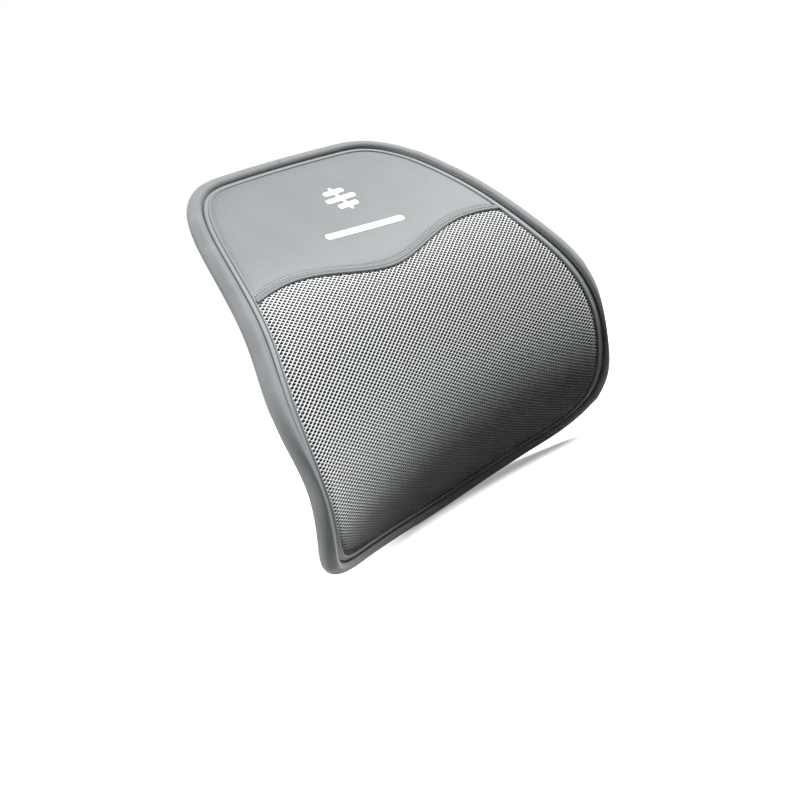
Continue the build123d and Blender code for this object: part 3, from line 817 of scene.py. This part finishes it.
def emblem():
    bars = [(EMBLEM_PLACE, *EMBLEM_COLUMN, 90)]
    for rise, length in EMBLEM_RIBS:
        bars.append(((EMBLEM_PLACE[0], EMBLEM_PLACE[1] + rise), length, RIB_WIDTH, 0))
    printed("emblem_mark", bars, "emblem_print")
    printed("emblem_line", [(RULE_PLACE, *RULE_SIZE, RULE_TILT)], "emblem_rule")


# ---- Zipper ------------------------------------------------------------------------------------
ZIP_HEIGHT, COIL_CENTRE, COIL_DEPTH = -112.0, 1.1, 1.6
COIL_PITCH, COIL_WIRE = 1.35, 0.36


def webbing(name, path, width, thickness, height, material):
    """Flat band swept along a path seen from above, with rounded selvedges."""
    path = np.array(path, float)
    ahead = np.gradient(path, axis=0)
    ahead /= np.linalg.norm(ahead, axis=1)[:, None]
    normal = np.stack([-ahead[:, 1], ahead[:, 0]], -1)
    half, r = width / 2, thickness / 2
    corner = np.linspace(-math.pi / 2, math.pi / 2, 5)
    inner = np.linspace(-half + r, half - r, 15)[1:-1]
    section = [(half - r + r * math.cos(a), r * math.sin(a)) for a in corner]
    section += [(v, r * (1 - 0.1 * math.cos(math.pi * v / width))) for v in inner[::-1]]
    section += [(-half + r - r * math.cos(a), -r * math.sin(a)) for a in corner]
    section += [(v, -r * (1 - 0.1 * math.cos(math.pi * v / width))) for v in inner]
    section = np.array(section)
    x = path[:, None, 0] + normal[:, None, 0] * section[None, :, 1]
    y = path[:, None, 1] + normal[:, None, 1] * section[None, :, 1]
    z = height + section[None, :, 0] + np.zeros_like(x)
    run = np.concatenate([[0], np.cumsum(np.linalg.norm(np.diff(path, axis=0), axis=1))])
    uv = np.stack(np.broadcast_arrays(run[:, None], section[None, :, 0]), -1).reshape(-1, 2)
    count = len(section)
    faces = grid_faces(len(path), count, False, True)
    faces += [tuple(range(count))[::-1], tuple((len(path) - 1) * count + k for k in range(count))]
    return mesh_object(name, np.stack([x, y, z], -1).reshape(-1, 3), faces, material, uv)


def zipper():
    for side, name in ((1, "upper"), (-1, "lower")):
        path = np.stack([np.linspace(-84, 84, 85), np.full(85, 0.42)], -1)
        tape = webbing("zip_tape_" + name, path, 11.8, 0.76, ZIP_HEIGHT + side * 6.1, MAT["zip_tape"])
        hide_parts("zipper_tape_" + name)
        turns = 157 / COIL_PITCH
        angle = np.linspace(0, 2 * math.pi * turns, int(turns * 12))
        centre = np.stack([np.linspace(-79.5, 77.5, len(angle)) + side * 0.3, np.full(len(angle), COIL_DEPTH),
                           np.full(len(angle), ZIP_HEIGHT + side * COIL_CENTRE)], -1)
        round_ = np.stack([0 * angle, 0.42 * np.sin(angle), 0.62 * np.cos(angle)], -1)
        line = centre + round_
        ahead = np.gradient(line, axis=0)
        ahead /= np.linalg.norm(ahead, axis=1)[:, None]
        radial = np.stack([0 * angle, np.sin(angle), np.cos(angle)], -1)
        across = np.cross(ahead, radial)
        across /= np.linalg.norm(across, axis=1)[:, None]
        wire = (COIL_WIRE, COIL_WIRE)
        coil = tube("zip_coil_" + name, line, np.cross(across, ahead), across, MAT["coil"], wire, 6)
        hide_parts("zipper_coil_" + name)
        run = np.linspace(-83, 83, 250)
        edge = np.stack([run, np.full(len(run), 0.86), np.full(len(run), ZIP_HEIGHT + side * 9.6)], -1)
        up = np.tile([0.0, 1, 0], (len(run), 1))
        row = stitches("zip_stitches_" + name, edge, up, MAT["dark_thread"], 3.2, 2.5, 0.3)


# ---- Strap -------------------------------------------------------------------------------------
STRAP_HEIGHT, STRAP_WIDTH, STRAP_THICK = 12.0, 38.0, 1.6
SEWN, RUN, TOP = 0.86, 4.0, 9.9
SEWN_END, RAMP_START, RAMP_END = 78.0, 64.0, 52.0
STRAP_STITCH = (2.8, 2.2, 0.32)


def strap_path(side, wrap_x, tail_x):
    """Path of a strap from its sewn end, up a ramp, round a bar of the ring and back over itself."""
    x = np.concatenate([np.linspace(-SEWN_END, -RAMP_START, 8), np.linspace(-RAMP_START, -RAMP_END, 13)[1:],
                        np.linspace(-RAMP_END, wrap_x, 60)[1:]])
    y = SEWN + (RUN - SEWN) * smooth_step((x + RAMP_START) / (RAMP_START - RAMP_END))
    turn = np.linspace(-math.pi / 2, math.pi / 2, 15)[1:]
    middle, radius = (RUN + TOP) / 2, (TOP - RUN) / 2
    x = np.concatenate([x, wrap_x + radius * np.cos(turn), np.linspace(wrap_x, tail_x, 50)[1:]])
    y = np.concatenate([y, middle + radius * np.sin(turn), np.full(49, TOP)])
    return np.stack([x * side, y], -1)


def sewn_line(corners, depth, step=0.5):
    """Straight runs of thread between corners on a face that looks towards the seat."""
    line = []
    for (x0, z0), (x1, z1) in zip(corners[:-1], corners[1:]):
        count = max(int(math.hypot(x1 - x0, z1 - z0) / step), 2)
        share = np.linspace(0, 1, count)
        line.append(np.stack([x0 + (x1 - x0) * share, np.full(count, depth), z0 + (z1 - z0) * share], -1))
    line = np.concatenate(line)
    return line, np.tile([0.0, 1, 0], (len(line), 1))


def straps():
    size = (STRAP_WIDTH, STRAP_THICK, STRAP_HEIGHT)
    long_strap = webbing("strap_left", strap_path(1, 28.7, -40.0), *size, MAT["webbing"])
    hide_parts("strap_long")
    short = webbing("strap_right", strap_path(-1, -39.3, -51.0), *size, MAT["webbing"])
    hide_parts("strap_short")
    low, high = STRAP_HEIGHT - 15.5, STRAP_HEIGHT + 15.5
    for strap, side, name in ((long_strap, -1, "left"), (short, 1, "right")):
        path = np.stack([np.linspace(67.1, 79.9, 15) * side, np.full(15, 2.2)], -1)
        patch = webbing("patch_" + name, path, 40.6, 0.95, STRAP_HEIGHT, MAT["patch"])
        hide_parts("strap_patch_" + name)
        a, b = side * 68.8, side * 78.2
        line, up = sewn_line([(a, low), (b, low), (b, high), (a, high), (a, low), (b, high)], 2.7)
        rows = [stitches("patch_stitches_" + name, line, up, MAT["thread"], *STRAP_STITCH)]
        line, up = sewn_line([(a, high), (b, low)], 2.7)
        rows.append(stitches("patch_cross_" + name, line, up, MAT["thread"], *STRAP_STITCH))
        # The long strap's row stays between the adjuster's furthest place and the strap's end.
        end = -38.7 if side < 0 else 49.0
        line, up = sewn_line([(end, low - 2), (end, high + 2)], TOP + 0.82)
        rows.append(stitches("strap_end_stitches_" + name, line, up, MAT["dark_thread"], *STRAP_STITCH))


# ---- Label ---------------------------------------------------------------------------------------
def label():
    path = np.stack([np.linspace(35.3, 68.7, 60), np.full(60, 0.30)], -1)
    tag = webbing("blank_label", path, 21.6, 0.42, -62.0, MAT["label"])
    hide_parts("care_label")
    line, up = sewn_line([(37, -71), (67, -71), (67, -53), (37, -53), (37, -71)], 0.5)
    row = stitches("label_stitches", line, up, MAT["thread"], 2.4, 1.9, 0.24)


def back_stitches(loop):
    """Thread that holds the binding round the back."""
    line = np.concatenate([loop, loop[:1]])
    line = np.stack([line[:, 0], np.full(len(line), 0.95), line[:, 1]], -1)
    up = np.tile([0.0, 1, 0], (len(line), 1))
    row = stitches("binding_stitches", line, up, MAT["dark_thread"], 3.4, 2.7, 0.34)


def carried_over():
    """Hard pieces that keep their CAD shape, with softened edges."""
    looks = {"zipper_slider": "metal", "zipper_pull": "metal", "zipper_stop_left": "metal",
             "zipper_stop_right": "metal", "strap_ring": "plastic", "strap_adjuster": "plastic"}
    for node, look in looks.items():
        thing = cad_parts[node]
        thing.data.materials.clear()
        thing.data.materials.append(MAT[look])
        bevel = thing.modifiers.new("soft_edges", "BEVEL")
        bevel.width = 0.25 * MM
        bevel.segments = 2
        bevel.limit_method = "ANGLE"


# ---- Camera, light and floor -------------------------------------------------------------------
CAMERA_PLACE = (-447.2, -708.1, -23.0)
CAMERA_TURN, CAMERA_TILT, CAMERA_ROLL = 33.8, -3.66, 25.6
CAMERA_LENS = 37.1
DOME_LOW, DOME_HIGH = 0.0, 0.12
KEY_POWER, RIM_POWER = 7.6, 4.6


def camera():
    data = bpy.data.cameras.new("camera")
    data.lens = CAMERA_LENS
    data.sensor_width = 36.0
    turn, tilt, roll = [math.radians(a) for a in (CAMERA_TURN, CAMERA_TILT, CAMERA_ROLL)]
    forward = Vector((math.sin(turn) * math.cos(tilt), math.cos(turn) * math.cos(tilt), math.sin(tilt)))
    right = forward.cross(Vector((0, 0, 1))).normalized()
    up = right.cross(forward)
    tilted = right * math.cos(roll) - up * math.sin(roll)
    up = tilted.cross(forward)
    matrix = Matrix((tilted, up, -forward)).transposed().to_4x4()
    matrix.translation = Vector(CAMERA_PLACE) * MM
    thing = bpy.data.objects.new("camera", data)
    thing.matrix_world = matrix
    bpy.context.scene.collection.objects.link(thing)
    bpy.context.scene.camera = thing


def soft_sun(name, azimuth, elevation, strength, spread):
    """Wide soft light from far away; azimuth 0 shines on the front, and positive is from the right."""
    data = bpy.data.lights.new(name, "SUN")
    data.energy = strength
    data.angle = math.radians(spread)
    thing = bpy.data.objects.new(name, data)
    a, e = math.radians(azimuth), math.radians(elevation)
    towards = Vector((math.sin(a) * math.cos(e), -math.cos(a) * math.cos(e), math.sin(e)))
    thing.rotation_euler = towards.to_track_quat("Z", "Y").to_euler()
    bpy.context.scene.collection.objects.link(thing)


def studio():
    floor_z = min(cad_box[0][2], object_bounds()[0][2]) / MM
    m = Nodes("pale_floor", (0.92, 0.92, 0.92), 0.8)
    m.shader.inputs["Emission Color"].default_value = (1, 1, 1, 1)
    m.shader.inputs["Emission Strength"].default_value = 0.3
    m.tint(m.noise(m.place(), 3.0), 0.985, 1.0)
    size = 9000
    corners = [(x, y, floor_z) for x, y in ((-size, -size), (size, -size), (size, size), (-size, size))]
    sheet = mesh_object("floor", corners, [(0, 1, 2, 3)], m.material, body=None, smooth=False)
    sheet.visible_diffuse = False
    sheet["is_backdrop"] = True
    world = bpy.data.worlds.new("studio")
    world.use_nodes = True
    tree = world.node_tree
    background = tree.nodes["Background"]
    background.inputs["Color"].default_value = (1, 1, 1, 1)
    path = tree.nodes.new("ShaderNodeLightPath")
    where = tree.nodes.new("ShaderNodeTexCoord")
    split = tree.nodes.new("ShaderNodeSeparateXYZ")
    tree.links.new(where.outputs["Generated"], split.inputs[0])
    dome = tree.nodes.new("ShaderNodeMapRange")
    dome.inputs["From Min"].default_value = -0.1
    dome.inputs["From Max"].default_value = 0.5
    dome.inputs["To Min"].default_value = DOME_LOW
    dome.inputs["To Max"].default_value = DOME_HIGH
    tree.links.new(split.outputs["Z"], dome.inputs["Value"])
    level = tree.nodes.new("ShaderNodeMix")
    level.inputs["B"].default_value = 1.0
    tree.links.new(path.outputs["Is Camera Ray"], level.inputs["Factor"])
    tree.links.new(dome.outputs["Result"], level.inputs["A"])
    tree.links.new(level.outputs["Result"], background.inputs["Strength"])
    bpy.context.scene.world = world
    bpy.context.scene.view_settings.view_transform = "Standard"
    soft_sun("key", 40, 43, KEY_POWER, 26)
    soft_sun("rim", -112, 34, RIM_POWER, 30)


camera()
air_mesh()
lining()
upper_panel()
wave_seam()
border()
emblem()
gusset()
foam()
inner_loop = back()
grip_dots(inner_loop)
back_stitches(inner_loop)
zipper()
straps()
label()
carried_over()
studio()
